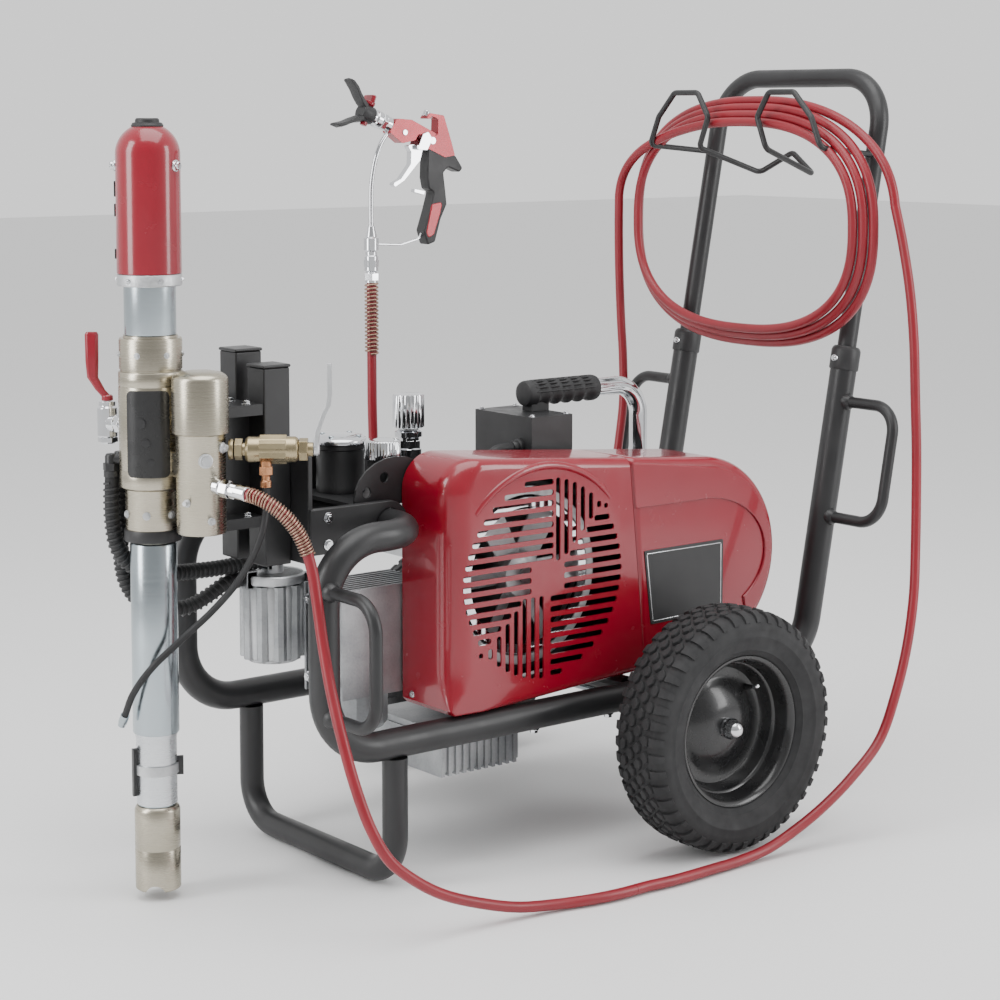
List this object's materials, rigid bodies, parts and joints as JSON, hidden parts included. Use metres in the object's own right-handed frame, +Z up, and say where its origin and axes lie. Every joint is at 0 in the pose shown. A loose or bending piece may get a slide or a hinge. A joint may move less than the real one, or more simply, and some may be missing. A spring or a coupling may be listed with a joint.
{
  "type": "airless paint sprayer",
  "caption": "Wheeled airless paint sprayer with a tilting piston pump, a belt-driven hydraulic power unit, a coiled hose on a rack and a spray gun.",
  "frame": {"origin": "on the floor, under the middle of the machine's length and width", "axes": "+X from the pump to the push handle, +Y away from the belt guard's side, +Z up"},
  "size_m": [1.3815, 0.8464, 1.2109],
  "materials": {
    "black_paint": "satin black powder coat",
    "red_paint": "glossy deep red enamel",
    "chrome": "bright plated",
    "nickel": "dull nickel plating",
    "steel": "turned steel",
    "cast_alloy": "cast alloy, matt",
    "brass": "bare brass, slightly dull",
    "black_rubber": "matt rubber",
    "tyre_rubber": "pneumatic tyre with a road tread",
    "black_plastic": "fine-grained moulded plastic",
    "red_hose": "smooth red hose jacket"
  },
  "bodies": {
    "chassis": {"side_frame_near": "black_paint", "side_frame_far": "black_paint", "grab_handle_front_near": "black_paint", "grab_handle_front_far": "black_paint", "grab_handle_rear_near": "black_paint", "grab_handle_rear_far": "black_paint", "front_stand": "black_paint", "pivot_tube": "black_paint", "axle": "steel", "guard_front": "red_paint", "guard_rear": "red_paint", "drive_belt": "black_rubber", "base_plate": "black_paint", "motor": "cast_alloy", "hydraulic_pump": "cast_alloy", "control_box": "black_plastic", "lift_bar": "chrome", "lift_grip": "black_rubber", "engine_block": "cast_alloy", "oil_filter": "cast_alloy", "cooler": "cast_alloy", "tilt_cradle": "black_paint", "oil_tank": "black_plastic", "tank_lid": "chrome", "paint_hose_high": "red_hose", "paint_hose_gun": "red_hose", "hydraulic_hose_supply": "black_rubber", "hydraulic_hose_return": "black_rubber", "paint_hose_low": "red_hose"},
    "wheel_near": {"tyre_near": "tyre_rubber", "rim_near": "black_paint", "hub_cap_near": "chrome"},
    "wheel_far": {"tyre_far": "tyre_rubber", "rim_far": "black_paint", "hub_cap_far": "chrome"},
    "handle": {"upper_handle": "black_paint", "hose_rack": "black_paint", "hose_coil": "red_hose"},
    "pump_unit": {"tilt_yoke": "black_paint", "pump_bracket": "black_paint", "pump_head": "red_paint", "drive_cylinder": "steel", "pump_body": "nickel", "filter_housing": "nickel", "suction_tube": "steel", "foot_valve": "nickel", "bleed_valve": "brass", "shutoff_valve": "steel", "paint_outlet": "nickel", "bleed_hose": "black_rubber"},
    "bleed_handle": {"bleed_lever": "steel"},
    "shutoff_handle": {"shutoff_lever": "red_paint"},
    "filler_cap_turn": {"filler_cap": "chrome"},
    "pressure_control": {"pressure_knob": "chrome"},
    "driven_wheel": {"driven_pulley": "cast_alloy"},
    "driving_wheel": {"motor_pulley": "cast_alloy"},
    "gun": {"gun_body": "red_paint", "tip_guard": "black_plastic"},
    "trigger": {"gun_trigger": "chrome"},
    "tip": {"tip_key": "red_paint"}
  },
  "joints": [
    {"name": "wheel_near_spin", "type": "hinge", "parent": "chassis", "child": "wheel_near", "pos_m": [0.168, -0.3445, 0.19], "axis": [0, 1, 0], "continuous": true},
    {"name": "wheel_far_spin", "type": "hinge", "parent": "chassis", "child": "wheel_far", "pos_m": [0.168, 0.3445, 0.19], "axis": [0, 1, 0], "continuous": true},
    {"name": "handle_slide", "type": "slide", "parent": "chassis", "child": "handle", "axis": [0.1874, 0, 0.9823], "range_m": [-0.12, 0], "deforming": ["paint_hose_high", "paint_hose_gun"]},
    {"name": "pump_tilt", "type": "hinge", "parent": "chassis", "child": "pump_unit", "pos_m": [-0.3, 0, 0.528], "axis": [0, 1, 0], "range_deg": [0, 80], "deforming": ["paint_hose_low", "hydraulic_hose_supply", "hydraulic_hose_return"]},
    {"name": "bleed_lever_turn", "type": "hinge", "parent": "pump_unit", "child": "bleed_handle", "pos_m": [-0.48111, -0.18742, 0.664], "axis": [0.788, -0.6157, 0], "range_deg": [0, 90]},
    {"name": "shutoff_lever_turn", "type": "hinge", "parent": "pump_unit", "child": "shutoff_handle", "pos_m": [-0.667, 0.074, 0.726], "axis": [0, 0, 1], "range_deg": [0, 90]},
    {"name": "filler_cap_turn", "type": "hinge", "parent": "chassis", "child": "filler_cap_turn", "pos_m": [-0.262, -0.042, 0.628], "axis": [0, 0, 1], "continuous": true},
    {"name": "pressure_knob_turn", "type": "hinge", "parent": "chassis", "child": "pressure_control", "pos_m": [-0.128, 0.075, 0.66], "axis": [0, 0, 1], "range_deg": [0, 270]},
    {"name": "driven_pulley_spin", "type": "hinge", "parent": "chassis", "child": "driven_wheel", "pos_m": [-0.093, -0.157, 0.434], "axis": [0, 1, 0], "continuous": true},
    {"name": "motor_pulley_spin", "type": "hinge", "parent": "chassis", "child": "driving_wheel", "pos_m": [0.251, -0.157, 0.425], "axis": [0, 1, 0], "continuous": true},
    {"name": "gun_swivel_turn", "type": "hinge", "parent": "chassis", "child": "gun", "pos_m": [-0.068, 0.26, 0.869], "axis": [0, 0, 1], "continuous": true},
    {"name": "trigger_pull", "type": "hinge", "parent": "gun", "child": "trigger", "pos_m": [0.038, 0.26, 1.093], "axis": [0, 1, 0], "range_deg": [-13, 0], "stiffness_Nm_per_rad": 1, "springref_deg": 2.86},
    {"name": "tip_key_turn", "type": "hinge", "parent": "gun", "child": "tip", "pos_m": [-0.06881, 0.26, 1.15195], "axis": [0.3649, 0, 0.9311], "range_deg": [0, 180]}
  ],
  "couplings": [
    {"joint": "motor_pulley_spin", "follows": "driven_pulley_spin", "ratio": 3}
  ]
}
